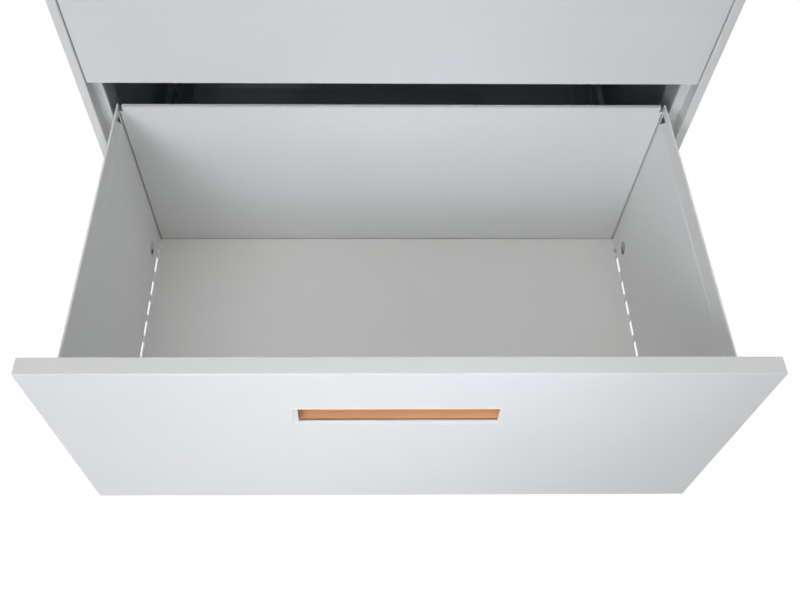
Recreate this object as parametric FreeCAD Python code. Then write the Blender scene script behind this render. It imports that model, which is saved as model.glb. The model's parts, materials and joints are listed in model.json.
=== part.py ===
import FreeCAD, Part
import math
import os

Vector = FreeCAD.Vector

# Two-drawer lateral filing cabinet, lower drawer open. Lengths in millimetres.
# X to the right, Y into the cabinet, Z up. Y is zero on the carcass front plane until export.

# Carcass
cabinet_width = 800.0
cabinet_depth = 470.0
cabinet_height = 720.0
sheet = 1.0
bend = 0.8
front_flange = 12.0
rebate_depth = 20.8
seat_flange = 13.0
post_depth = 40.0
post_return = 10.0
rear_flange = 20.0
top_edge = 25.0
plinth_top = 26.0
plinth_return = 15.0
floor_gap = 4.0
pan_drop = 4.0
fit = 0.3

# Pressed dish in the base pan
dish_depth = 8.0
dish_side_margin = 50.0
dish_front_margin = 100.0
dish_rear_margin = 80.0

# Upright that carries the rear ends of the slides
upright_depth = 22.0
upright_setback = 6.0

# Counterweight
weight_side_gap = 55.0
weight_depth = 28.0
weight_height = 60.0

# Levelling feet
foot_diameter = 38.0
foot_height = 6.0
stem_diameter = 10.0
stem_above_pan = 4.0
foot_side_inset = 35.0
foot_front_inset = 82.0
foot_rear_inset = 40.0

# Drawer fronts
front_gap = 3.0
front_side_gap = 1.8
front_thickness = 19.8
front_sheet = 1.0
front_radius = 1.5
cover_sheet = 0.8
cover_flange = 9.0

# Handle in each front
handle_drop = 77.0
handle_width = 218.0
handle_height = 29.0
bezel_border = 6.0
bezel_proud = 0.6
bezel_neck_wall = 1.5
bezel_neck_depth = 0.7
cup_wall = 1.2
cup_set_back = 3.0
cup_finger_rise = 12.0

# Drawer body
drawer_sheet = 1.0
drawer_travel = 416.0
body_depth = 411.0
rim_drop = 45.0
hem_width = 2.3
hem_height = 8.0
band_height = 27.0
band_slope = 3.0
band_offset = 0.7
notch_drop = 11.0
notch_height = 19.0
notch_length = 16.0
floor_rise = 7.0
floor_flange = 8.0
floor_rear_gap = 1.2
rear_pan_depth = 5.0
rear_side_gap = 1.8
rear_corner_width = 3.5
rear_lug_height = 3.0
front_tab_width = 20.0
front_tab_margin = 12.0

# Slots along the folds of the drawer floor
slot_length = 26.4
slot_pitch = 36.4
slot_width = 2.5
slot_drop = 6.0
slot_rise = 4.5
slot_rear_margin = 83.4
rear_slots = ((21.0, 9.0), (38.0, 29.0))

# Hole through each drawer wall and its rail, to reach the fixed rail's screws
hole_diameter = 22.0
hole_rear_margin = 50.0
rail_hole_diameter = 13.0
rail_hole_drop = 3.0

# Ball slides
slide_thickness = 12.7
slide_height = 45.0
slide_length = 430.0
slide_rise = 40.0
slide_front_gap = 2.0
slide_sheet = 1.2
rail_rear_gap = 8.0
ball_diameter = 4.0
ball_play = 0.2
cage_sheet = 1.0
cage_length = 150.0
balls_per_row = 3
ball_sides = 6

# Closing buffers
buffer_diameter = 6.0
buffer_rise = 60.0
buffer_play = 0.2

# Lock
lock_diameter = 16.0
lock_collar = 19.0
lock_collar_height = 1.0
lock_depth = 28.0
plug_diameter = 11.0
plug_play = 0.15
key_slot_width = 1.2
key_slot_height = 7.0
key_slot_depth = 3.0
cam_thickness = 2.5
cam_throw = 7.0
cam_pin_diameter = 4.0
cam_pin_play = 0.5
bar_thickness = 2.0
bar_width = 12.0
tab_height = 10.0
catch_diameter = 6.0
catch_rise = 82.0
guide_height = 20.0

# Derived places
half_width = cabinet_width / 2
rebate_x = half_width - front_flange
opening_x = rebate_x - seat_flange
skin_x = half_width - sheet
post_end = rebate_depth + post_depth
carcass_top = cabinet_height - top_edge
pan_top = plinth_top - pan_drop
back_face = cabinet_depth - 2 * sheet
front_height = (carcass_top - plinth_top - 3 * front_gap) / 2
front_x = rebate_x - front_side_gap
body_x = opening_x - slide_thickness
wall_x = body_x - drawer_sheet
body_end = front_thickness + body_depth
rear_face = body_end - rear_pan_depth
drawers = {
    "lower": (plinth_top + front_gap, drawer_travel),
    "upper": (plinth_top + 2 * front_gap + front_height, 0.0),
}
origin_y = (cabinet_depth - drawer_travel - bezel_proud) / 2

# Slide section: u runs from the post to the drawer wall, w up from the slide's centre
slide_w = slide_height / 2
ball_gap = ball_diameter + 2 * ball_play
middle_w = slide_w - slide_sheet - ball_gap
rail_w = middle_w - slide_sheet - ball_gap
outer_ball_w = middle_w + ball_gap / 2
inner_ball_w = rail_w + ball_gap / 2
lip_u = 0.75 * slide_thickness
outer_cage_u = slide_sheet + 0.5
middle_u = outer_cage_u + cage_sheet + 0.7
inner_cage_u = middle_u + slide_sheet + 0.5
rail_u = inner_cage_u + cage_sheet + 0.7
outer_ball_u = outer_cage_u + cage_sheet + ball_diameter / 2 + 0.4
inner_ball_u = inner_cage_u + cage_sheet + ball_diameter / 2 + 0.3
slide_start = rebate_depth + slide_front_gap
drawer_rail_length = body_end - rail_rear_gap - slide_start

# Lock places
lock_x = (opening_x + half_width) / 2
lock_z = cabinet_height - top_edge / 2
bar_rise = cam_throw * math.sin(math.radians(45))
bar_y = lock_depth + cam_thickness + 2.0
bar_x0 = opening_x + sheet + 1.5
bar_x1 = bar_x0 + bar_width

parts = {}


def box(x0, x1, y0, y1, z0, z1):
    return Part.makeBox(x1 - x0, y1 - y0, z1 - z0, Vector(x0, y0, z0))


def cylinder(diameter, start, direction, length):
    return Part.makeCylinder(diameter / 2, length, start, direction)


def ring(centre, radius, axis, sides):
    turn = FreeCAD.Rotation(Vector(0, 0, 1), axis)
    corners = []
    for i in range(sides + 1):
        angle = 2 * math.pi * i / sides
        corners.append(centre + turn.multVec(Vector(math.cos(angle), math.sin(angle), 0)) * radius)
    return Part.makePolygon(corners)


def peg(diameter, start, direction, length, sides=12):
    # A small round piece that repeats, drawn with flat sides.
    return Part.Face(ring(start, diameter / 2, direction, sides)).extrude(direction * length)


def mirrored(shape):
    return shape.mirror(Vector(0, 0, 0), Vector(1, 0, 0))


def both_sides(shapes):
    return shapes + [mirrored(shape) for shape in shapes]


def chain(points, radii):
    # Straight runs joined by tangent arcs, one radius for each inner corner, zero for a square one.
    edges = []
    last = points[0]
    for i in range(1, len(points) - 1):
        before = (points[i] - points[i - 1]).normalize()
        after = (points[i + 1] - points[i]).normalize()
        half_turn = before.getAngle(after) / 2
        if radii[i - 1] == 0:
            edges.append(Part.makeLine(last, points[i]))
            last = points[i]
            continue
        reach = radii[i - 1] * math.tan(half_turn)
        start = points[i] - before * reach
        end = points[i] + after * reach
        inward = (after - before).normalize()
        middle = points[i] + inward * (radii[i - 1] * (1 / math.cos(half_turn) - 1))
        edges.append(Part.makeLine(last, start))
        edges.append(Part.Arc(start, middle, end).toShape())
        last = end
    edges.append(Part.makeLine(last, points[-1]))
    return edges


def folded(path, thickness, place, run, radius=bend):
    # A folded sheet: its section follows path on one face, with the metal to the left.
    flat = [Vector(a, b, 0) for a, b in path]
    left = []
    for a, b in zip(flat, flat[1:]):
        along = (b - a).normalize()
        left.append(Vector(-along.y, along.x, 0))
    other = [flat[0] + left[0] * thickness]
    face_radii = []
    other_radii = []
    for i in range(1, len(flat) - 1):
        mitre = (left[i - 1] + left[i]) * (thickness / (1 + left[i - 1].dot(left[i])))
        other.append(flat[i] + mitre)
        turns_left = left[i - 1].cross(left[i]).z > 0
        outside = radius + thickness if radius else 0
        face_radii.append(outside if turns_left else radius)
        other_radii.append(radius if turns_left else outside)
    other.append(flat[-1] + left[-1] * thickness)
    edges = chain([place(p) for p in flat], face_radii)
    edges.append(Part.makeLine(place(flat[-1]), place(other[-1])))
    edges += chain([place(p) for p in reversed(other)], list(reversed(other_radii)))
    edges.append(Part.makeLine(place(other[0]), place(flat[0])))
    return Part.Face(Part.Wire(edges)).extrude(run)


def folded_up(path, thickness, z0, z1):
    return folded(path, thickness, lambda p: Vector(p.x, p.y, z0), Vector(0, 0, z1 - z0))


def folded_back(path, thickness, y0, y1, radius=bend):
    return folded(path, thickness, lambda p: Vector(p.x, y0, p.y), Vector(0, y1 - y0, 0), radius)


def folded_across(path, thickness, x0, x1):
    return folded(path, thickness, lambda p: Vector(x0, p.x, p.y), Vector(x1 - x0, 0, 0))


def rounded_block(corners, radius, keep_sharp):
    # A block with rounded edges, except round the face at the keep_sharp position in Y or Z.
    block = box(*corners)
    axis, level = keep_sharp
    edges = []
    for edge in block.Edges:
        ends = [getattr(v.Point, axis) for v in edge.Vertexes]
        if max(abs(e - level) for e in ends) > 1e-6:
            edges.append(edge)
    return block.makeFillet(radius, edges)


def tray(corners, wall, radius, axis, level):
    # A pan pressed from sheet, open on the face at the given level of one axis.
    x0, x1, y0, y1, z0, z1 = corners
    outer = rounded_block(corners, radius, (axis, level)) if radius else box(*corners)
    inner = [x0 + wall, x1 - wall, y0 + wall, y1 - wall, z0 + wall, z1 - wall]
    place = {"y": (2, 3), "z": (4, 5)}[axis]
    low = abs(corners[place[0]] - level) < 1e-6
    inner[place[0] if low else place[1]] = level
    return outer.cut(box(*inner))


# Carcass


def side_panel():
    path = [
        (-half_width + rear_flange, cabinet_depth),
        (-half_width, cabinet_depth),
        (-half_width, 0),
        (-rebate_x, 0),
        (-rebate_x, rebate_depth),
        (-opening_x, rebate_depth),
        (-opening_x, post_end),
        (-opening_x - post_return, post_end),
    ]
    return folded_up(path, sheet, floor_gap, carcass_top)


def tab_base(z0):
    # Lowest edge of a lock tab with the bar raised.
    return z0 + catch_rise + catch_diameter / 2 + 2.0


def lock_side_panel():
    panel = mirrored(side_panel())
    y1 = bar_y + bar_thickness
    for z0, opening in drawers.values():
        low = tab_base(z0) - 2 * bar_rise - 1.5
        high = tab_base(z0) + tab_height + 1.5
        panel = panel.cut(box(opening_x - 1, opening_x + 2 * sheet, bar_y - 1, y1 + 1, low, high))
    return panel


def back_panel():
    x = skin_x - bend - fit
    return box(-x, x, back_face, back_face + sheet, floor_gap, carcass_top)


def top_panel():
    corners = (-half_width, half_width, 0, cabinet_depth, carcass_top, cabinet_height)
    cap = tray(corners, sheet, bend + sheet, "z", carcass_top)
    border = box(-skin_x, skin_x, sheet, cabinet_depth - sheet, carcass_top, carcass_top + sheet)
    y1 = cabinet_depth - rear_flange
    border = border.cut(box(-opening_x, opening_x, rebate_depth, y1, carcass_top, cabinet_height))
    shaft = cylinder(lock_diameter + 2 * fit, Vector(lock_x, -1, lock_z), Vector(0, 1, 0), 4 * sheet)
    clear = 2.0
    y0 = bar_y - clear
    y1 = bar_y + bar_thickness + clear
    passage = box(bar_x0 - clear, bar_x1 + clear, y0, y1, carcass_top - 1, carcass_top + 3 * sheet)
    return cap.fuse(border).cut(shaft).cut(passage).removeSplitter()


def plinth_rail():
    path = [
        (rebate_depth, floor_gap + sheet),
        (rebate_depth, plinth_top),
        (0, plinth_top),
        (0, floor_gap),
        (plinth_return, floor_gap),
    ]
    x = rebate_x - bend
    return folded_across(path, sheet, -x, x)


def rectangle(x, y0, y1, z):
    corners = [Vector(-x, y0, z), Vector(x, y0, z), Vector(x, y1, z), Vector(-x, y1, z)]
    return Part.makePolygon(corners + corners[:1])


def dish(grow, drop):
    x = half_width - dish_side_margin + grow
    y0 = dish_front_margin - grow
    y1 = cabinet_depth - dish_rear_margin + grow
    top = rectangle(x, y0, y1, pan_top - drop)
    low = rectangle(x - dish_depth, y0 + dish_depth, y1 - dish_depth, pan_top - dish_depth - drop)
    return Part.makeLoft([top, low], True)


def foot_places():
    x = half_width - foot_side_inset
    return [(sx * x, y) for sx in (-1, 1) for y in (foot_front_inset, cabinet_depth - foot_rear_inset)]


def base_pan():
    path = [
        (back_face, floor_gap),
        (back_face, pan_top),
        (rebate_depth, pan_top),
        (rebate_depth, floor_gap + sheet),
    ]
    pan = folded_across(path, sheet, -skin_x, skin_x)
    for x in (-half_width, opening_x - fit):
        pan = pan.cut(box(x, x + front_flange + seat_flange + fit, 0, post_end + fit, 0, plinth_top))
    pan = pan.fuse(dish(sheet, sheet)).cut(dish(0, 0))
    for x, y in foot_places():
        pan = pan.cut(peg(stem_diameter + 2 * fit, Vector(x, y, 0), Vector(0, 0, 1), plinth_top))
    return pan.removeSplitter()


def rear_upright():
    y1 = back_face - upright_setback
    y0 = y1 - upright_depth
    path = [(-skin_x, y0), (-opening_x, y0), (-opening_x, y1), (-skin_x, y1)]
    return folded_up(path, sheet, pan_top, carcass_top)


def counterweight():
    x = opening_x - weight_side_gap
    return box(-x, x, back_face - weight_depth, back_face, pan_top, pan_top + weight_height)


def levelling_feet():
    up = Vector(0, 0, 1)
    stem_length = pan_top + stem_above_pan - foot_height
    feet = []
    for x, y in foot_places():
        pad = peg(foot_diameter, Vector(x, y, 0), up, foot_height, 24)
        feet.append(pad.fuse(peg(stem_diameter, Vector(x, y, foot_height), up, stem_length)))
    return feet


def closing_buffers():
    pads = []
    x = opening_x + seat_flange / 2
    length = rebate_depth - front_thickness - buffer_play
    for z0, opening in drawers.values():
        start = Vector(-x, rebate_depth - length, z0 + buffer_rise)
        pads += both_sides([peg(buffer_diameter, start, Vector(0, 1, 0), length)])
    return pads


# Drawer front and handle


def front_skin(z0):
    corners = (-front_x, front_x, 0, front_thickness, z0, z0 + front_height)
    skin = tray(corners, front_sheet, front_radius, "y", front_thickness)
    return skin.cut(handle_opening(z0, bezel_neck_wall + fit, -1, front_thickness / 2))


def handle_opening(z0, grow, y0, y1):
    x = handle_width / 2 + grow
    top = z0 + front_height - handle_drop + grow
    low = z0 + front_height - handle_drop - handle_height - grow
    return box(-x, x, y0, y1, low, top)


def front_cover(z0):
    inset = front_sheet + fit
    y0 = front_thickness - cover_flange
    corners = (-front_x + inset, front_x - inset, y0, front_thickness, z0 + inset, z0 + front_height - inset)
    return tray(corners, cover_sheet, 0, "y", y0)


def handle_bezel(z0):
    flange = handle_opening(z0, bezel_border, -bezel_proud, 0)
    corner_edges = []
    for edge in flange.Edges:
        if abs(edge.Vertexes[0].Y - edge.Vertexes[1].Y) > bezel_proud / 2:
            corner_edges.append(edge)
    flange = flange.makeFillet(bezel_border / 2, corner_edges)
    neck = handle_opening(z0, bezel_neck_wall, 0, front_sheet + bezel_neck_depth)
    return flange.fuse(neck).cut(handle_opening(z0, 0, -1, front_thickness)).removeSplitter()


def handle_cup(z0):
    grow = bezel_neck_wall + fit + cup_set_back
    y1 = front_thickness - cover_sheet - fit
    hollow = handle_opening(z0, grow, 0, y1 - cup_wall)
    hollow = hollow.fuse(hollow.translated(Vector(0, 0, cup_finger_rise))).removeSplitter()
    body = handle_opening(z0, grow + cup_wall, front_sheet, y1)
    body = body.fuse(body.translated(Vector(0, 0, cup_finger_rise))).removeSplitter()
    back_edges = [e for e in body.Edges if min(v.Y for v in e.Vertexes) > y1 - 1e-6]
    return body.makeFillet(cup_wall, back_edges).cut(hollow)


# Drawer body


def rim_level(z0):
    return z0 + front_height - rim_drop


def drawer_side(z0):
    # One folded sheet: a hemmed rim, a band set out from the wall, then the wall down past the floor.
    rim = rim_level(z0)
    band_x = body_x + band_offset
    wall_top = rim - band_height - band_slope
    path = [
        (-band_x + hem_width, rim - hem_height),
        (-band_x + hem_width, rim),
        (-band_x, rim),
        (-band_x, rim - band_height),
        (-body_x, wall_top),
        (-body_x, z0 + floor_rise - floor_flange),
    ]
    wall = folded_back(path, drawer_sheet, front_thickness, body_end, 0)
    tab_low = z0 + floor_rise + front_tab_margin
    tab_end = front_thickness + drawer_sheet
    tab_x = -wall_x + front_tab_width
    wall = wall.fuse(box(-wall_x, tab_x, front_thickness, tab_end, tab_low, wall_top - front_tab_margin))
    openings = [rear_notch(rim), floor_slots(z0), access_hole(z0, hole_diameter, 0)]
    return wall.cut(openings).removeSplitter()


def rear_notch(rim):
    # Three-cornered relief in the wall in front of the rear panel.
    x = -body_x - 2 * drawer_sheet
    high = rim - notch_drop
    corners = [(rear_face, high), (rear_face - notch_length, high), (rear_face, high - notch_height)]
    points = [Vector(x, y, z) for y, z in corners + corners[:1]]
    return Part.Face(Part.makePolygon(points)).extrude(Vector(4 * drawer_sheet, 0, 0))


def access_hole(z0, diameter, drop):
    start = Vector(-opening_x, body_end - hole_rear_margin, z0 + slide_rise - drop)
    return peg(diameter, start, Vector(1, 0, 0), 2 * slide_thickness, 24)


def slot_places():
    # Start and length of each slot: two odd ones at the rear, then an even row to the front.
    slots = [(rear_face - margin - length, length) for margin, length in rear_slots]
    start = rear_face - slot_rear_margin - slot_length
    while start > front_thickness + slot_pitch - slot_length:
        slots.append((start, slot_length))
        start -= slot_pitch
    return slots


def floor_slots(z0):
    # The left row, through the floor, its flange and the wall.
    top = z0 + floor_rise
    x = -wall_x + slot_width
    low = top - slot_drop
    high = top + slot_rise
    slots = [box(-body_x - 1, x, y, y + run, low, high) for y, run in slot_places()]
    return Part.makeCompound(slots)


def drawer_floor(z0):
    top = z0 + floor_rise
    low = top - floor_flange
    path = [(wall_x, low), (wall_x, top), (-wall_x, top), (-wall_x, low)]
    floor = folded_back(path, drawer_sheet, front_thickness, rear_face - floor_rear_gap, 0)
    return floor.cut(floor_slots(z0)).cut(mirrored(floor_slots(z0)))


def drawer_rear(z0):
    # A shallow pan, clear of the walls except at the lugs that are welded to them.
    x = wall_x - rear_side_gap
    rim = rim_level(z0)
    low = z0 + floor_rise - floor_flange
    pan = tray((-x, x, rear_face, body_end, low, rim), drawer_sheet, 0, "y", body_end)
    lug_top = rim - hem_height
    corner = box(x - rear_corner_width, x + 1, rear_face - 1, body_end + 1, lug_top, rim + 1)
    pan = pan.cut(corner).cut(mirrored(corner))
    inner = x - drawer_sheet
    face = (rear_face, rear_face + drawer_sheet)
    high_lug = box(inner, wall_x + band_offset, *face, lug_top - rear_lug_height, lug_top)
    low_lug = box(inner, wall_x, *face, low, low + rear_lug_height)
    return pan.fuse(both_sides([high_lug, low_lug])).removeSplitter()


def lock_catch(z0):
    start = Vector(body_x, bar_y + bar_thickness + 2.0 + catch_diameter / 2, z0 + catch_rise)
    pin = peg(catch_diameter, start, Vector(1, 0, 0), slide_thickness - 4.0)
    collar = peg(catch_diameter + 2.0, start, Vector(1, 0, 0), 1.5)
    return pin.fuse(collar)


# Ball slides, drawn for the left side


def slide_section(points, z0):
    return [(-opening_x + u, z0 + slide_rise + w) for u, w in points]


def rail(points, z0, length):
    return folded_back(slide_section(points, z0), slide_sheet, slide_start, slide_start + length, 0)


def cabinet_rail(z0):
    lip = slide_w - slide_sheet - ball_gap / 2
    upper = [(lip_u, lip), (lip_u, slide_w), (0, slide_w)]
    lower = [(u, -w) for u, w in reversed(upper)]
    return rail(upper + lower, z0, slide_length)


def middle_rail(z0):
    reach = slide_thickness - 1.5
    points = [(reach, middle_w), (middle_u, middle_w), (middle_u, -middle_w), (reach, -middle_w)]
    return rail(points, z0, slide_length)


def drawer_rail(z0):
    points = [(rail_u, -rail_w), (slide_thickness, -rail_w), (slide_thickness, rail_w), (rail_u, rail_w)]
    return rail(points, z0, drawer_rail_length).cut(access_hole(z0, rail_hole_diameter, rail_hole_drop))


def cage_starts():
    # Cages sit where the rails still overlap with the drawer pulled right out.
    step = drawer_travel / 4
    middle_end = slide_start + slide_length - 2 * step
    outer_open = (slide_start + middle_end) / 2
    rail_end = slide_start + drawer_rail_length - 4 * step
    inner_open = (slide_start - 2 * step + rail_end) / 2
    return outer_open + step - cage_length / 2, inner_open + 3 * step - cage_length / 2


def cage_ball_places(start):
    pitch = cage_length / balls_per_row
    return [start + pitch * (i + 0.5) for i in range(balls_per_row)]


def ball_cage(z0, u, ball_u, ball_w, start):
    reach = ball_u + ball_diameter / 2 + 0.6
    w = ball_w + cage_sheet / 2
    points = [(reach, w), (u, w), (u, -w), (reach, -w)]
    cage = folded_back(slide_section(points, z0), cage_sheet, start, start + cage_length, 0)
    low = z0 + slide_rise - slide_w
    pocket_diameter = ball_diameter + 2 * ball_play
    for y in cage_ball_places(start):
        place = Vector(-opening_x + ball_u, y, low)
        cage = cage.cut(peg(pocket_diameter, place, Vector(0, 0, 1), slide_height, ball_sides))
    return cage


def ball(centre):
    # Small and repeated, so drawn with flat faces through its pole, 45 degree and waist rings.
    radius = ball_diameter / 2
    rise = radius * math.sin(math.radians(45))
    up = Vector(0, 0, 1)
    sections = [Part.Vertex(centre - up * radius)]
    for z, ring_radius in ((-rise, rise), (0, radius), (rise, rise)):
        sections.append(ring(centre + up * z, ring_radius, up, ball_sides))
    sections.append(Part.Vertex(centre + up * radius))
    return Part.makeLoft(sections, True, True)


def cage_balls(z0, ball_u, ball_w, start):
    balls = []
    for y in cage_ball_places(start):
        for w in (-ball_w, ball_w):
            balls.append(ball(Vector(-opening_x + ball_u, y, z0 + slide_rise + w)))
    return balls


# Lock


def lock_housing():
    back = Vector(0, 1, 0)
    start = Vector(lock_x, 0, lock_z)
    face = start - back * lock_collar_height
    barrel = peg(lock_diameter, start, back, lock_depth, 24)
    collar = peg(lock_collar, face, back, lock_collar_height, 24)
    bore = cylinder(plug_diameter + 2 * plug_play, face, back, lock_collar_height + lock_depth)
    return barrel.fuse(collar).cut(bore).removeSplitter()


def lock_plug():
    # The plug with its cam and drive pin, unlocked: the pin stands up and to the left.
    face = Vector(lock_x, -lock_collar_height, lock_z)
    plug = cylinder(plug_diameter, face, Vector(0, 1, 0), lock_collar_height + lock_depth + fit)
    slot_x = key_slot_width / 2
    slot_z = key_slot_height / 2
    y1 = -lock_collar_height + key_slot_depth
    slot = box(lock_x - slot_x, lock_x + slot_x, -5, y1, lock_z - slot_z, lock_z + slot_z)
    cam_y = lock_depth + fit
    pin_x = lock_x - bar_rise
    pin_z = lock_z + bar_rise
    hub = cylinder(plug_diameter, Vector(lock_x, cam_y, lock_z), Vector(0, 1, 0), cam_thickness)
    eye = cylinder(cam_pin_diameter + 2, Vector(pin_x, cam_y, pin_z), Vector(0, 1, 0), cam_thickness)
    pin_length = bar_y + bar_thickness + 1.0 - cam_y
    pin = cylinder(cam_pin_diameter, Vector(pin_x, cam_y, pin_z), Vector(0, 1, 0), pin_length)
    return plug.cut(slot).fuse([hub, eye, pin]).removeSplitter()


def lock_bar():
    top = lock_z + bar_rise + cam_pin_diameter / 2 + cam_pin_play + 1.2
    y1 = bar_y + bar_thickness
    low = tab_base(drawers["lower"][0]) - 20.0
    bar = box(bar_x0, bar_x1, bar_y, y1, low, top)
    for z0, opening in drawers.values():
        tab_low = tab_base(z0)
        bar = bar.fuse(box(body_x + 4.0, bar_x1, bar_y, y1, tab_low, tab_low + tab_height))
    slot_half = cam_pin_diameter / 2 + cam_pin_play
    slot_x0 = lock_x - cam_throw - slot_half
    slot_x1 = lock_x - bar_rise + slot_half
    z = lock_z + bar_rise
    slot = box(slot_x0, slot_x1, bar_y - 1, y1 + 1, z - slot_half, z + slot_half)
    return bar.cut(slot).removeSplitter()


def lock_bar_guides():
    guides = []
    play = 0.4
    z_low = drawers["lower"][0]
    z_high = drawers["upper"][0]
    y0 = rebate_depth + sheet + bend
    y1 = bar_y + bar_thickness
    for z in (z_low + front_height / 2, z_high + catch_rise - 3 * guide_height, z_high + 0.8 * front_height):
        top = z + guide_height
        block = box(opening_x + sheet, bar_x1 + 3, y0, y1 + 3, z, top)
        passage = box(bar_x0 - play, bar_x1 + play, bar_y - play, y1 + play, z, top)
        guides.append(block.cut(passage))
    return guides


# Assembly


def pulled(shape, opening):
    return shape.translated(Vector(0, -opening, 0))


def add(name, shape):
    if isinstance(shape, list):
        shape = Part.makeCompound(shape)
    parts[name] = shape


def add_carcass():
    add("left_side_panel", side_panel())
    add("right_side_panel", lock_side_panel())
    add("back_panel", back_panel())
    add("top_panel", top_panel())
    add("base_pan", base_pan())
    add("plinth_rail", plinth_rail())
    add("left_rear_upright", rear_upright())
    add("right_rear_upright", mirrored(rear_upright()))
    add("counterweight", counterweight())
    add("levelling_feet", levelling_feet())
    add("closing_buffers", closing_buffers())
    add("lock_housing", lock_housing())
    add("lock_plug", lock_plug())
    add("lock_bar", lock_bar())
    add("lock_bar_guides", lock_bar_guides())


def add_drawer(name, z0, opening):
    left = pulled(drawer_side(z0), opening)
    pieces = {
        "front_skin": front_skin(z0),
        "front_cover": front_cover(z0),
        "handle_bezel": handle_bezel(z0),
        "handle_cup": handle_cup(z0),
        "floor": drawer_floor(z0),
        "rear_panel": drawer_rear(z0),
        "lock_catch": lock_catch(z0),
    }
    for piece, shape in pieces.items():
        add(name + "_" + piece, pulled(shape, opening))
    add(name + "_left_side", left)
    add(name + "_right_side", mirrored(left))


def add_slides(name, z0, opening):
    fixed = cabinet_rail(z0)
    middle = pulled(middle_rail(z0), opening / 2)
    moving = pulled(drawer_rail(z0), opening)
    for piece, shape in (("cabinet_rail", fixed), ("middle_rail", middle), ("drawer_rail", moving)):
        add(name + "_left_" + piece, shape)
        add(name + "_right_" + piece, mirrored(shape))
    outer_start, inner_start = cage_starts()
    cages = (
        ("outer", outer_cage_u, outer_ball_u, outer_ball_w, outer_start, 0.25),
        ("inner", inner_cage_u, inner_ball_u, inner_ball_w, inner_start, 0.75),
    )
    for side, u, ball_u, ball_w, start, share in cages:
        cage = pulled(ball_cage(z0, u, ball_u, ball_w, start), opening * share)
        balls = [pulled(b, opening * share) for b in cage_balls(z0, ball_u, ball_w, start)]
        add(name + "_" + side + "_ball_cages", both_sides([cage]))
        add(name + "_" + side + "_balls", both_sides(balls))


add_carcass()
for drawer, (front_bottom, pull) in drawers.items():
    add_drawer(drawer, front_bottom, pull)
    add_slides(drawer, front_bottom, pull)

os.makedirs("parts", exist_ok=True)
for part_name, part_shape in parts.items():
    part_shape.translated(Vector(0, -origin_y, 0)).exportStep("parts/" + part_name + ".step")
print(len(parts), "parts written")
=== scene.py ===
import json
import math

import bmesh
import bpy
from mathutils import Matrix, Vector


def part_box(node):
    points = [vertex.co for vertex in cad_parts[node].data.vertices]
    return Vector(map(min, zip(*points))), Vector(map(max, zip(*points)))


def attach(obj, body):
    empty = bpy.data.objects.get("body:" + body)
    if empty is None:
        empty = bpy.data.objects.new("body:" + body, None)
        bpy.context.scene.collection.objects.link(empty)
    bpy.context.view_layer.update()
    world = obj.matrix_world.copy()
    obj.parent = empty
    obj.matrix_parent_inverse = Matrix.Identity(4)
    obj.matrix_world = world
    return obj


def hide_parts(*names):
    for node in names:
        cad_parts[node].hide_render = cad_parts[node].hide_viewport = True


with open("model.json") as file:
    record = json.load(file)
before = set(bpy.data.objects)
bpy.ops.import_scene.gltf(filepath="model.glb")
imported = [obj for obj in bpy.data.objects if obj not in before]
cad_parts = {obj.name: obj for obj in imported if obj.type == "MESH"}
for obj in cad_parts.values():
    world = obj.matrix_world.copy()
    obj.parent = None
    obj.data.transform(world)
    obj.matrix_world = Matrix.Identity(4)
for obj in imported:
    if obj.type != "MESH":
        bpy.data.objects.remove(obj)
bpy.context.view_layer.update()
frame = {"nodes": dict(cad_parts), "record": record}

scene = bpy.context.scene
scene.view_settings.view_transform = "Standard"


# shared shader effects

def newGroup(name, inputs, outputs):
    tree = bpy.data.node_groups.new(name, "ShaderNodeTree")
    for label, kind, value in inputs:
        socket = tree.interface.new_socket(label, in_out="INPUT", socket_type=kind)
        socket.default_value = value
    for label, kind in outputs:
        tree.interface.new_socket(label, in_out="OUTPUT", socket_type=kind)
    return tree, tree.nodes.new("NodeGroupInput"), tree.nodes.new("NodeGroupOutput")


def feed(tree, socket, part):
    # a link from another node, or a plain value
    if isinstance(part, bpy.types.NodeSocket):
        tree.links.new(part, socket)
    else:
        socket.default_value = part


def noiseNode(tree, vector, scale, detail, rough=0.5):
    node = tree.nodes.new("ShaderNodeTexNoise")
    parts = {"Vector": vector, "Scale": scale, "Detail": detail, "Roughness": rough}
    for label, part in parts.items():
        feed(tree, node.inputs[label], part)
    return node.outputs["Fac"]


def rangeNode(tree, value, low, high, outLow, outHigh):
    node = tree.nodes.new("ShaderNodeMapRange")
    parts = {"Value": value, "From Min": low, "From Max": high, "To Min": outLow, "To Max": outHigh}
    for label, part in parts.items():
        feed(tree, node.inputs[label], part)
    return node.outputs["Result"]


def mathNode(tree, operation, *parts):
    node = tree.nodes.new("ShaderNodeMath")
    node.operation = operation
    for socket, part in zip(node.inputs, parts):
        feed(tree, socket, part)
    return node.outputs[0]


def mixColour(tree, factor, first, second):
    node = tree.nodes.new("ShaderNodeMix")
    node.data_type = "RGBA"
    feed(tree, node.inputs["Factor"], factor)
    for label, part in (("A", first), ("B", second)):
        feed(tree, node.inputs[label], (*part, 1) if isinstance(part, tuple) else part)
    return node.outputs["Result"]


# most of a noise lies between these two values
noiseLow, noiseHigh = 0.3, 0.7


def openFinish(name, extra):
    # sockets that every finish has, with one of its own
    tree, enter, leave = newGroup(
        name,
        [("Light", "NodeSocketColor", (0.8, 0.8, 0.8, 1)), ("Deep", "NodeSocketColor", (0.7, 0.7, 0.7, 1)),
         ("Rough Low", "NodeSocketFloat", 0.4), ("Rough High", "NodeSocketFloat", 0.5), extra],
        [("Color", "NodeSocketColor"), ("Roughness", "NodeSocketFloat"), ("Height", "NodeSocketFloat")])
    return tree, enter, leave, tree.nodes.new("ShaderNodeTexCoord").outputs["Object"]


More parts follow.
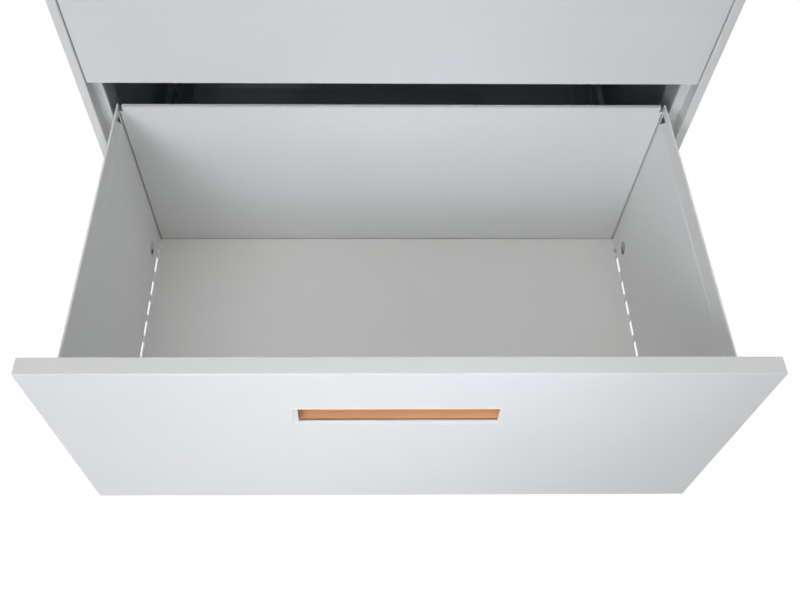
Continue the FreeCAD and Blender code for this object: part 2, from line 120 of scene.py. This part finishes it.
def closeFinish(tree, enter, leave, tone, grain):
    # the tone mixes the two colours, the grain sets roughness and height
    lowRough, highRough = enter.outputs["Rough Low"], enter.outputs["Rough High"]
    colour = mixColour(tree, tone, enter.outputs["Light"], enter.outputs["Deep"])
    rough = rangeNode(tree, grain, noiseLow, noiseHigh, lowRough, highRough)
    tree.links.new(colour, leave.inputs["Color"])
    tree.links.new(rough, leave.inputs["Roughness"])
    tree.links.new(grain, leave.inputs["Height"])
    return tree


def coatGroup():
    # powder coat: fine orange peel, faint drifts of tone
    peelSocket = ("Peel Scale", "NodeSocketFloat", 900.0)
    tree, enter, leave, coords = openFinish("coatFinish", peelSocket)
    drift = noiseNode(tree, coords, scale=5.0, detail=3.0)
    peel = noiseNode(tree, coords, scale=enter.outputs["Peel Scale"], detail=2.0)
    tone = rangeNode(tree, drift, noiseLow, noiseHigh, outLow=0.0, outHigh=1.0)
    return closeFinish(tree, enter, leave, tone, peel)


def metalGroup():
    # rolled strip: streaks along the run, blotches of plating
    streakSocket = ("Streak", "NodeSocketVector", (400.0, 6.0, 400.0))
    tree, enter, leave, coords = openFinish("metalFinish", streakSocket)
    stretch = tree.nodes.new("ShaderNodeVectorMath")
    stretch.operation = "MULTIPLY"
    tree.links.new(coords, stretch.inputs[0])
    tree.links.new(enter.outputs["Streak"], stretch.inputs[1])
    streaks = noiseNode(tree, stretch.outputs["Vector"], scale=1.0, detail=3.0)
    blotch = noiseNode(tree, coords, scale=60.0, detail=4.0, rough=0.6)
    tone = rangeNode(tree, blotch, low=0.35, high=0.65, outLow=0.0, outHigh=1.0)
    return closeFinish(tree, enter, leave, tone, streaks)


def paintedShadeGroup():
    # a mask that is one within the cabinet, where painted shade mixes the coat towards a greyer colour
    tree, enter, leave = newGroup(
        "paintedInsideShade",
        [("Half Width", "NodeSocketFloat", 0.3993), ("Start", "NodeSocketFloat", -0.006),
         ("Full", "NodeSocketFloat", 0.001), ("End", "NodeSocketFloat", 0.4417)],
        [("Mask", "NodeSocketFloat")])
    coords = tree.nodes.new("ShaderNodeTexCoord").outputs["Object"]
    split = tree.nodes.new("ShaderNodeSeparateXYZ")
    tree.links.new(coords, split.inputs[0])
    across = mathNode(tree, "ABSOLUTE", split.outputs["X"])
    between = mathNode(tree, "LESS_THAN", across, enter.outputs["Half Width"])
    ahead = mathNode(tree, "LESS_THAN", split.outputs["Y"], enter.outputs["End"])
    uneven = noiseNode(tree, coords, scale=40.0, detail=3.0)
    drift = rangeNode(tree, uneven, noiseLow, noiseHigh, outLow=-0.001, outHigh=0.001)
    depth = mathNode(tree, "ADD", split.outputs["Y"], drift)
    start, full = enter.outputs["Start"], enter.outputs["Full"]
    fade = rangeNode(tree, depth, start, full, outLow=0.0, outHigh=1.0)
    mask = mathNode(tree, "MULTIPLY", mathNode(tree, "MULTIPLY", between, ahead), fade)
    tree.links.new(mask, leave.inputs["Mask"])
    return tree


effects = {"coat": coatGroup(), "metal": metalGroup(), "paintedShade": paintedShadeGroup()}
grainHeight = 0.0002


def makeLook(name, spec):
    material = bpy.data.materials.new(name)
    material.use_nodes = True
    tree = material.node_tree
    shader = tree.nodes["Principled BSDF"]
    shader.inputs["Metallic"].default_value = spec.get("metallic", 0.0)
    group = tree.nodes.new("ShaderNodeGroup")
    group.node_tree = effects[spec["effect"]]
    group.inputs["Light"].default_value = (*spec["light"], 1)
    group.inputs["Deep"].default_value = (*spec["deep"], 1)
    group.inputs["Rough Low"].default_value, group.inputs["Rough High"].default_value = spec["rough"]
    if "peel" in spec:
        group.inputs["Peel Scale"].default_value = spec["peel"]
    bump = tree.nodes.new("ShaderNodeBump")
    bump.inputs["Strength"].default_value = spec["bump"]
    bump.inputs["Distance"].default_value = grainHeight
    colour = group.outputs["Color"]
    # painted shade: within the cabinet the coat colour is mixed towards a greyer one
    if "paintedShade" in spec:
        shade = tree.nodes.new("ShaderNodeGroup")
        shade.node_tree = effects["paintedShade"]
        colour = mixColour(tree, shade.outputs["Mask"], colour, spec["paintedShade"])
    tree.links.new(colour, shader.inputs["Base Color"])
    tree.links.new(group.outputs["Roughness"], shader.inputs["Roughness"])
    tree.links.new(group.outputs["Height"], bump.inputs["Height"])
    tree.links.new(bump.outputs["Normal"], shader.inputs["Normal"])
    return material


bodyCoat = {
    "effect": "coat", "light": (0.79, 0.79, 0.79), "deep": (0.77, 0.77, 0.768), "rough": (0.42, 0.55),
    "bump": 0.1, "peel": 700.0}
looks = {
    "body_paint": makeLook("bodyPaint", bodyCoat),
    # a greyer coat on the inner parts, painted shade for the unlit cabinet
    "inner_primer": makeLook("innerPaintedShade", {
        "effect": "coat", "light": (0.6, 0.625, 0.645), "deep": (0.55, 0.575, 0.59), "rough": (0.5, 0.65),
        "bump": 0.2, "peel": 900.0}),
    "zinc_steel": makeLook("zincSteel", {
        "effect": "metal", "light": (0.62, 0.63, 0.66), "deep": (0.45, 0.46, 0.49), "rough": (0.28, 0.45),
        "bump": 0.15, "metallic": 1.0}),
    "ball_steel": makeLook("ballSteel", {
        "effect": "metal", "light": (0.72, 0.72, 0.74), "deep": (0.62, 0.62, 0.65), "rough": (0.08, 0.16),
        "bump": 0.03, "metallic": 1.0}),
    "lock_chrome": makeLook("lockChrome", {
        "effect": "metal", "light": (0.78, 0.78, 0.8), "deep": (0.7, 0.7, 0.73), "rough": (0.1, 0.2),
        "bump": 0.04, "metallic": 1.0}),
    "black_plastic": makeLook("blackPlastic", {
        "effect": "coat", "light": (0.03, 0.03, 0.032), "deep": (0.018, 0.018, 0.02), "rough": (0.45, 0.6),
        "bump": 0.2, "peel": 1500.0}),
    "buffer_rubber": makeLook("bufferRubber", {
        "effect": "coat", "light": (0.05, 0.05, 0.05), "deep": (0.03, 0.03, 0.03), "rough": (0.7, 0.85),
        "bump": 0.3, "peel": 1200.0}),
    "weight_iron": makeLook("weightIron", {
        "effect": "coat", "light": (0.1, 0.1, 0.1), "deep": (0.06, 0.055, 0.05), "rough": (0.6, 0.8),
        "bump": 0.5, "peel": 300.0}),
    "bezel_plastic": makeLook("bezelPlastic", {
        "effect": "coat", "light": (0.79, 0.79, 0.79), "deep": (0.77, 0.77, 0.77), "rough": (0.34, 0.44),
        "bump": 0.05, "peel": 1500.0}),
    "cup_plastic": makeLook("cupPlastic", {
        "effect": "coat", "light": (0.79, 0.453, 0.244), "deep": (0.755, 0.431, 0.231), "rough": (0.4, 0.52),
        "bump": 0.1, "peel": 1100.0}),
}

# panels whose coat turns greyer within the cabinet, as painted shade
shellShadedLook = makeLook("shellPaintWithShade", {**bodyCoat, "paintedShade": (0.6, 0.625, 0.645)})
shellNodes = ("left_side_panel", "right_side_panel", "back_panel")

for entry in frame["record"]["subparts"]:
    node = frame["nodes"][entry["node"]]
    node.data.materials.clear()
    node.data.materials.append(shellShadedLook if entry["node"] in shellNodes else looks[entry["material_slot"]])
print("looks on", len(frame["nodes"]), "nodes")


# small roundings on the square folds and mouldings, by the ending of the node's name

edgeWidths = {
    "rear_panel": 0.0006, "front_cover": 0.0004, "cabinet_rail": 0.0005, "middle_rail": 0.0005,
    "drawer_rail": 0.0005, "ball_cages": 0.0003, "lock_bar": 0.0003, "lock_bar_guides": 0.0006,
    "counterweight": 0.002, "lower_floor": 0.0003, "upper_floor": 0.0003}
edgeSpec = {"segments": 2, "sharpDegrees": 40}


def softenEdges(node, width):
    bevel = node.modifiers.new("edgeRound", "BEVEL")
    bevel.width = width
    bevel.segments = edgeSpec["segments"]
    bevel.limit_method = "ANGLE"
    bevel.angle_limit = math.radians(edgeSpec["sharpDegrees"])
    bevel.harden_normals = True


for name, node in frame["nodes"].items():
    for ending, width in edgeWidths.items():
        if name.endswith(ending):
            softenEdges(node, width)
print("edges rounded")


# small pieces, in metres, on the bodies that carry them

smoothDegrees = 35


def lathe(mesh, profile, sides, place):
    # a profile of radii and heights turned about the axis, to a point where the radius is zero
    rings = []
    for radius, height in profile:
        ring = []
        for step in range(sides if radius > 0 else 1):
            angle = 2 * math.pi * step / sides
            point = Vector((radius * math.cos(angle), radius * math.sin(angle), height))
            ring.append(mesh.verts.new(place @ point))
        rings.append(ring)
    for low, high in zip(rings, rings[1:]):
        for step in range(sides):
            after = (step + 1) % sides
            corners = [low[step % len(low)], low[after % len(low)]]
            corners += [high[after % len(high)], high[step % len(high)]]
            corners = list(dict.fromkeys(corners))
            if len(corners) > 2:
                mesh.faces.new(corners)
    return rings


def turnedShape(mesh, place, spec):
    # a lathe whose profile is in shares of the piece's radius and height
    profile = [(spec["radius"] * wide, spec["height"] * tall) for wide, tall in spec["profile"]]
    return lathe(mesh, profile, spec["sides"], place)


def facing(place, direction):
    turn = Vector(direction).to_track_quat("Z", "Y").to_matrix().to_4x4()
    return Matrix.Translation(Vector(place)) @ turn


def finishPiece(mesh, name, body, slotName):
    bmesh.ops.recalc_face_normals(mesh, faces=mesh.faces)
    data = bpy.data.meshes.new(name)
    mesh.to_mesh(data)
    mesh.free()
    data.set_sharp_from_angle(angle=math.radians(smoothDegrees))
    piece = bpy.data.objects.new(name, data)
    scene.collection.objects.link(piece)
    data.materials.append(looks[slotName])
    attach(piece, body)
    return piece


def crossOutline(reach, arm):
    outline = []
    for quarter in range(4):
        turn = Matrix.Rotation(quarter * math.pi / 2, 2)
        for point in ((reach, -arm), (reach, arm), (arm, arm)):
            outline.append(turn @ Vector(point))
    return outline


def ringPairs(ring):
    return zip(ring, ring[1:] + ring[:1])


def screwHead(mesh, place, spec):
    # a domed head with a cross recess that narrows towards its floor
    radius, height = spec["radius"], spec["height"]
    rim = turnedShape(mesh, place, spec)[-1]
    cross = crossOutline(radius * spec["crossReach"], radius * spec["crossArm"])
    deep, narrow = height * spec["crossFloor"], spec["crossTaper"]
    upper = [mesh.verts.new(place @ Vector((p.x, p.y, height))) for p in cross]
    lower = [mesh.verts.new(place @ Vector((p.x * narrow, p.y * narrow, deep))) for p in cross]
    rimEdges = [mesh.edges.get(pair) for pair in ringPairs(rim)]
    crossEdges = [mesh.edges.new(pair) for pair in ringPairs(upper)]
    bmesh.ops.triangle_fill(mesh, use_beauty=True, edges=rimEdges + crossEdges)
    for (first, second), (firstLow, secondLow) in zip(ringPairs(upper), ringPairs(lower)):
        mesh.faces.new((first, second, secondLow, firstLow))
    mesh.faces.new(lower)


def smoothBall(mesh, place, spec):
    radius, rings = spec["radius"], spec["rings"]
    turns = [math.pi * step / rings for step in range(rings + 1)]
    profile = [(radius * math.sin(turn), -radius * math.cos(turn)) for turn in turns]
    profile[0], profile[-1] = (0, -radius), (0, radius)
    lathe(mesh, profile, spec["sides"], place)


def footStem(mesh, place, spec):
    # a threaded stem, then a chamfered hexagon nut tight under the pan
    radius, pitch = spec["radius"], spec["pitch"]
    root = radius - spec["threadDepth"]
    profile = [(root, spec["low"])]
    level = spec["low"] + pitch / 2
    while level < spec["high"] - pitch:
        profile += [(radius, level), (root, level + pitch / 2)]
        level += pitch
    profile += [(root, spec["high"]), (0, spec["high"])]
    lathe(mesh, profile, spec["sides"], place)
    corner = spec["nutFlats"] / math.sqrt(3)
    face, chamfer = corner * spec["nutFace"], corner * spec["nutChamfer"]
    low, high = spec["nutLow"], spec["nutHigh"]
    nut = [(radius, low), (face, low), (corner, low + chamfer)]
    nut += [(corner, high - chamfer), (face, high), (radius, high)]
    lathe(mesh, nut, spec["nutSides"], place)


def moulding(mesh, place, spec):
    # a profile of depths and rises drawn out across the front, closed at both ends, walls of one thickness
    ends = []
    for across in (-spec["reach"], spec["reach"]):
        points = [Vector((across, depth, rise)) for depth, rise in spec["profile"]]
        ends.append([mesh.verts.new(place @ point) for point in points])
        mesh.faces.new(ends[-1])
    left, right = ends
    for i in range(len(left) - 1):
        mesh.faces.new((left[i], left[i + 1], right[i + 1], right[i]))
    bmesh.ops.recalc_face_normals(mesh, faces=mesh.faces)
    folds = [edge for edge in mesh.edges if len(edge.link_faces) == 2]
    bmesh.ops.bevel(mesh, geom=folds, offset=spec["corner"], segments=spec["cornerSteps"], profile=0.5,
                    affect="EDGES")
    bmesh.ops.solidify(mesh, geom=mesh.faces[:], thickness=-spec["wall"])


def roundedRing(mesh, place, spec, share, height, corner):
    # a rounded rectangle around the opening, at a share of the border and a height over the front
    right = spec["across"] + share * spec["side"]
    low, high = spec["low"] - share * spec["below"], spec["top"] + share * spec["above"]
    steps = spec["cornerSteps"]
    ring = []
    for x, z, turn in ((right, low, -90), (right, high, 0), (-right, high, 90), (-right, low, 180)):
        centreX = x - math.copysign(corner, x)
        centreZ = z + corner if z == low else z - corner
        for step in range(steps + 1):
            angle = math.radians(turn + step * 90 / steps)
            across, rise = corner * math.cos(angle), corner * math.sin(angle)
            point = Vector((centreX + across, -height, centreZ + rise))
            ring.append(mesh.verts.new(place @ point))
    return ring


def roundedFrame(mesh, place, spec):
    # rings joined in turn and closed on themselves
    rings = [roundedRing(mesh, place, spec, *ring) for ring in spec["rings"]]
    for inner, outer in ringPairs(rings):
        for (first, second), (firstOut, secondOut) in zip(ringPairs(inner), ringPairs(outer)):
            mesh.faces.new((first, second, secondOut, firstOut))


def islandCentres(node):
    # centre of each separate ball in a CAD node
    mesh = bmesh.new()
    mesh.from_mesh(node.data)
    seen, centres = set(), set()
    for start in mesh.verts:
        if start in seen:
            continue
        stack, island = [start], []
        seen.add(start)
        while stack:
            vert = stack.pop()
            island.append(node.matrix_world @ vert.co)
            for edge in vert.link_edges:
                other = edge.other_vert(vert)
                if other not in seen:
                    seen.add(other)
                    stack.append(other)
        centre = []
        for axis in range(3):
            reach = [point[axis] for point in island]
            centre.append(round((min(reach) + max(reach)) / 2, 5))
        centres.add(tuple(centre))
    mesh.free()
    return sorted(centres)


# depths below are from the closed front, rises from the lower edge of the drawer front
carcassFront, carcassBack = (corner.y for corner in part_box("left_side_panel"))
drawers = ("lower", "upper")


def drawerPlace(drawer):
    # how far the drawer is pulled out at rest, and its front's lower edge
    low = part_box(drawer + "_front_skin")[0]
    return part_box("upper_front_skin")[0].y - low.y, low.z


screwProfile = ((1, 0), (1, 0.35), (0.93, 0.7), (0.713, 0.97), (0.62, 1))
screwCross = {"crossReach": 0.5, "crossArm": 0.12, "crossFloor": 0.3, "crossTaper": 0.8}
rivetProfile = ((1, 0), (0.97, 0.4), (0.75, 0.85), (0.42, 1), (0.34, 0.72), (0, 0.62))
frontScrewSpec = {
    "radius": 0.0042, "height": 0.0022, "across": 0.3513, "depths": (0.0208,), "rises": (0.031, 0.228),
    "sides": 24, "profile": screwProfile, **screwCross}
railRivetSpec = {
    "radius": 0.0032, "height": 0.0011, "across": 0.3635, "depths": (0.062, 0.166, 0.34), "rises": (0.04,),
    "sides": 24, "profile": rivetProfile}
holeRivetSpec = {
    "radius": 0.0062, "height": 0.0014, "across": 0.3623, "depths": (0.3808,), "rises": (0.0425,),
    "sides": 24, "profile": rivetProfile}
mountScrewSpec = {
    "radius": 0.0036, "height": 0.0017, "across": 0.3738, "depths": (0.04, 0.446), "rises": (0.04,),
    "sides": 24, "profile": screwProfile, **screwCross}


def fastenerSpots(spec, side, pull, base):
    for depth in spec["depths"]:
        for rise in spec["rises"]:
            yield side * spec["across"], carcassFront + depth - pull, base + rise


for drawer in drawers:
    pull, base = drawerPlace(drawer)
    screws, rivets, mounts = bmesh.new(), bmesh.new(), bmesh.new()
    for side in (-1, 1):
        for spot in fastenerSpots(frontScrewSpec, side, pull, base):
            screwHead(screws, facing(spot, (0, 1, 0)), frontScrewSpec)
        for spot in fastenerSpots(railRivetSpec, side, pull, base):
            turnedShape(rivets, facing(spot, (side, 0, 0)), railRivetSpec)
        for spot in fastenerSpots(holeRivetSpec, side, pull, base):
            turnedShape(rivets, facing(spot, (-side, 0, 0)), holeRivetSpec)
        for spot in fastenerSpots(mountScrewSpec, side, 0, base):
            screwHead(mounts, facing(spot, (-side, 0, 0)), mountScrewSpec)
    finishPiece(screws, drawer + "FrontScrews", drawer + "_drawer", "zinc_steel")
    finishPiece(rivets, drawer + "RailRivets", drawer + "_drawer", "zinc_steel")
    finishPiece(mounts, drawer + "MountScrews", "carcass", "zinc_steel")
print("fasteners set")

# each ring: share of the border, height over the front, corner radius
bezelSpec = {
    "across": 0.109, "top": 0.253, "low": 0.224, "side": 0.0055, "above": 0.002, "below": 0.0085,
    "cornerSteps": 8,
    "rings": ((1.35, 0, 0.0045), (1.07, 0.0008, 0.0032), (1.0, 0.0008, 0.003), (0.83, 0.00008, 0.0026),
              (0.1, 0.00008, 0.0008), (0.03, 0, 0.0006), (0, -0.0003, 0.0005), (0, -0.0017, 0.0005),
              (0.2, -0.0017, 0.0012), (0.2, 0, 0.0012))}
cupSpec = {
    "reach": 0.1106, "wall": 0.001, "corner": 0.0005, "cornerSteps": 3,
    "profile": ((0.0018, 0.2198), (0.0039, 0.2198), (0.0039, 0.2234), (0.0175, 0.2234),
                (0.0175, 0.2698), (0.0018, 0.2698))}
for drawer in drawers:
    pull, base = drawerPlace(drawer)
    place = Matrix.Translation((0, carcassFront - pull, base))
    bezel, cup = bmesh.new(), bmesh.new()
    roundedFrame(bezel, place, bezelSpec)
    bezelPiece = finishPiece(bezel, drawer + "Bezel", drawer + "_drawer", "bezel_plastic")
    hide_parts(drawer + "_handle_bezel")
    moulding(cup, place, cupSpec)
    cupPiece = finishPiece(cup, drawer + "Cup", drawer + "_drawer", "cup_plastic")
    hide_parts(drawer + "_handle_cup")
print("handles set")

ballSpec = {"radius": 0.002, "rings": 12, "sides": 18}
for drawer in drawers:
    for row in ("outer", "inner"):
        nodeName = drawer + "_" + row + "_balls"
        balls = bmesh.new()
        for centre in islandCentres(frame["nodes"][nodeName]):
            smoothBall(balls, Matrix.Translation(centre), ballSpec)
        pieceName = drawer + row.capitalize() + "Balls"
        ballPiece = finishPiece(balls, pieceName, drawer + "_" + row + "_cages", "ball_steel")
        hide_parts(nodeName)
print("balls set")

# the pad's last ring meets the stem, 5 mm of the pad's 19 mm in radius
padSpec = {
    "radius": 0.019, "height": 0.006, "sides": 48,
    "profile": ((0, 0), (0.94, 0), (1, 0.12), (1, 0.45), (0.93, 0.7), (0.6, 0.88), (0.42, 1), (5 / 19, 1))}
stemSpec = {
    "radius": 0.005, "threadDepth": 0.0006, "pitch": 0.0015, "low": 0.0055, "high": 0.026, "sides": 32,
    "nutFlats": 0.017, "nutFace": 0.88, "nutChamfer": 0.1, "nutLow": 0.0132, "nutHigh": 0.0209, "nutSides": 6}
feetLow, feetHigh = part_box("levelling_feet")
pads, stems = bmesh.new(), bmesh.new()
for across in (feetLow.x + padSpec["radius"], feetHigh.x - padSpec["radius"]):
    for depth in (feetLow.y + padSpec["radius"], feetHigh.y - padSpec["radius"]):
        spot = Matrix.Translation((across, depth, 0))
        turnedShape(pads, spot, padSpec)
        footStem(stems, spot, stemSpec)
padPiece = finishPiece(pads, "footPads", "carcass", "black_plastic")
finishPiece(stems, "footStems", "carcass", "zinc_steel")
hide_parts("levelling_feet")
print("feet set")

weldSpec = {
    "radius": 0.0035, "height": 0.0003, "across": 0.39, "low": 0.06, "pitch": 0.11, "count": 6, "sides": 20,
    "profile": ((1, 0), (0.86, 1), (0.7, 0.75), (0.55, 0.15), (0, 0.1))}
welds = bmesh.new()
for side in (-1, 1):
    for step in range(weldSpec["count"]):
        spot = (side * weldSpec["across"], carcassBack, weldSpec["low"] + step * weldSpec["pitch"])
        turnedShape(welds, facing(spot, (0, 1, 0)), weldSpec)
finishPiece(welds, "rearWelds", "carcass", "body_paint")
print("welds set")


# stage, lights and camera

def addArea(name, spec):
    data = bpy.data.lights.new(name, "AREA")
    data.shape = "RECTANGLE"
    data.size = spec["size"]
    data.size_y = spec["size"]
    data.energy = spec["power"]
    data.color = spec["colour"]
    data.spread = spec.get("spread", math.pi)
    lamp = bpy.data.objects.new(name, data)
    scene.collection.objects.link(lamp)
    lamp.location = spec["place"]
    aim = Vector(spec["target"]) - Vector(spec["place"])
    lamp.rotation_euler = aim.to_track_quat("-Z", "Y").to_euler()


def seenRays(tree):
    # rays that show the background: straight from the camera, off metal or through glass
    rays = tree.nodes.new("ShaderNodeLightPath").outputs
    direct = mathNode(tree, "MAXIMUM", rays["Is Camera Ray"], rays["Is Glossy Ray"])
    return mathNode(tree, "MAXIMUM", direct, rays["Is Transmission Ray"])


# the floor's glow lifts it to white, and its share leaves room for the shadow
floorSpec = {"reach": 8.0, "colour": (0.86, 0.86, 0.86, 1), "rough": 0.9, "glow": 1.25, "glowShare": 0.7}
worldSpec = {"lighting": 0.1, "seen": 0.92}


def addFloor(spec):
    mesh = bpy.data.meshes.new("studioFloor")
    reach = spec["reach"]
    corners = [(-reach, -reach, 0), (reach, -reach, 0), (reach, reach, 0), (-reach, reach, 0)]
    mesh.from_pydata(corners, [], [(0, 1, 2, 3)])
    floor = bpy.data.objects.new("studioFloor", mesh)
    scene.collection.objects.link(floor)
    material = bpy.data.materials.new("studioFloor")
    material.use_nodes = True
    tree = material.node_tree
    shader = tree.nodes["Principled BSDF"]
    shader.inputs["Roughness"].default_value = spec["rough"]
    shader.inputs["Base Color"].default_value = spec["colour"]
    glow = tree.nodes.new("ShaderNodeEmission")
    glow.inputs["Strength"].default_value = spec["glow"]
    mix = tree.nodes.new("ShaderNodeMixShader")
    tree.links.new(mathNode(tree, "MULTIPLY", seenRays(tree), spec["glowShare"]), mix.inputs["Fac"])
    tree.links.new(shader.outputs["BSDF"], mix.inputs[1])
    tree.links.new(glow.outputs["Emission"], mix.inputs[2])
    tree.links.new(mix.outputs["Shader"], tree.nodes["Material Output"].inputs["Surface"])
    mesh.materials.append(material)


def addWorld(spec):
    world = bpy.data.worlds.new("studioWorld")
    scene.world = world
    world.use_nodes = True
    tree = world.node_tree
    background = tree.nodes["Background"]
    background.inputs["Color"].default_value = (1, 1, 1, 1)
    level = rangeNode(tree, seenRays(tree), low=0.0, high=1.0, outLow=spec["lighting"], outHigh=spec["seen"])
    tree.links.new(level, background.inputs["Strength"])


# soft lamps around the cabinet, two weak narrow ones for its middle, one for its back
lampSpecs = {
    "keyLight": {
        "place": (-1.1, -2.0, 1.3), "target": (0, -0.2, 0.35), "size": 0.8, "power": 19.2,
        "colour": (0.92, 0.94, 1.0)},
    "fillLight": {
        "place": (1.8, -1.8, 2.4), "target": (0, -0.2, 0.3), "size": 2.0, "power": 2.2,
        "colour": (1.0, 0.97, 0.9)},
    "topLight": {
        "place": (0.0, -0.7, 2.7), "target": (0, -0.2, 0.3), "size": 1.6, "power": 11.5,
        "colour": (1.0, 0.99, 0.92)},
    "sideLight": {
        "place": (-1.1, -0.9, 2.3), "target": (0, -0.2, 0.3), "size": 1.0, "power": 9.4,
        "colour": (0.975, 1.0, 0.97)},
    "rightLight": {
        "place": (2.6, -0.5, 1.5), "target": (0, -0.2, 0.3), "size": 1.5, "power": 7.2,
        "colour": (0.97, 1.0, 1.0)},
    "frontLight": {
        "place": (-0.15, -1.9, 0.7), "target": (-0.12, -0.44, 0.2), "size": 0.3, "power": 0.27,
        "colour": (0.95, 0.94, 1.0), "spread": 0.7},
    "innerLight": {
        "place": (0.12, -1.4, 1.0), "target": (0.08, 0, 0.3), "size": 0.3, "power": 0.29,
        "colour": (0.83, 0.92, 1.0), "spread": 0.7},
    "backLight": {
        "place": (0.8, 3.0, 1.8), "target": (0, 0.4, 0.35), "size": 1.5, "power": 28,
        "colour": (1.0, 1.0, 1.0)},
}

addWorld(worldSpec)
addFloor(floorSpec)
for lampName, lampSpec in lampSpecs.items():
    addArea(lampName, lampSpec)
print("stage ready")

# angles in degrees, focal length, centre and size in pixels of the photo, sensor in millimetres
cameraSpec = {
    "place": (-0.03745, -0.84061, 1.08059), "pitch": 56.809, "roll": -1.076, "yaw": 1.327,
    "focalPixels": 828.82, "centreX": 374.62, "centreY": 311.96, "width": 800, "height": 600,
    "sensor": 36.0, "clipStart": 0.01}


def addCamera(spec):
    pitch, roll, yaw = (math.radians(spec[part]) for part in ("pitch", "roll", "yaw"))
    forward = Vector((math.sin(yaw) * math.cos(pitch), math.cos(yaw) * math.cos(pitch), -math.sin(pitch)))
    right = Vector((math.cos(yaw), -math.sin(yaw), 0))
    down = forward.cross(right)
    rightTurned = right * math.cos(roll) + down * math.sin(roll)
    downTurned = down * math.cos(roll) - right * math.sin(roll)
    data = bpy.data.cameras.new("photoCamera")
    data.sensor_width = spec["sensor"]
    data.lens = spec["focalPixels"] * spec["sensor"] / spec["width"]
    data.shift_x = 0.5 - spec["centreX"] / spec["width"]
    data.shift_y = (spec["centreY"] - spec["height"] / 2) / spec["width"]
    data.clip_start = spec["clipStart"]
    camera = bpy.data.objects.new("photoCamera", data)
    scene.collection.objects.link(camera)
    turn = Matrix((rightTurned, -downTurned, -forward)).transposed()
    camera.matrix_world = Matrix.Translation(spec["place"]) @ turn.to_4x4()
    scene.camera = camera


addCamera(cameraSpec)
print("camera set")
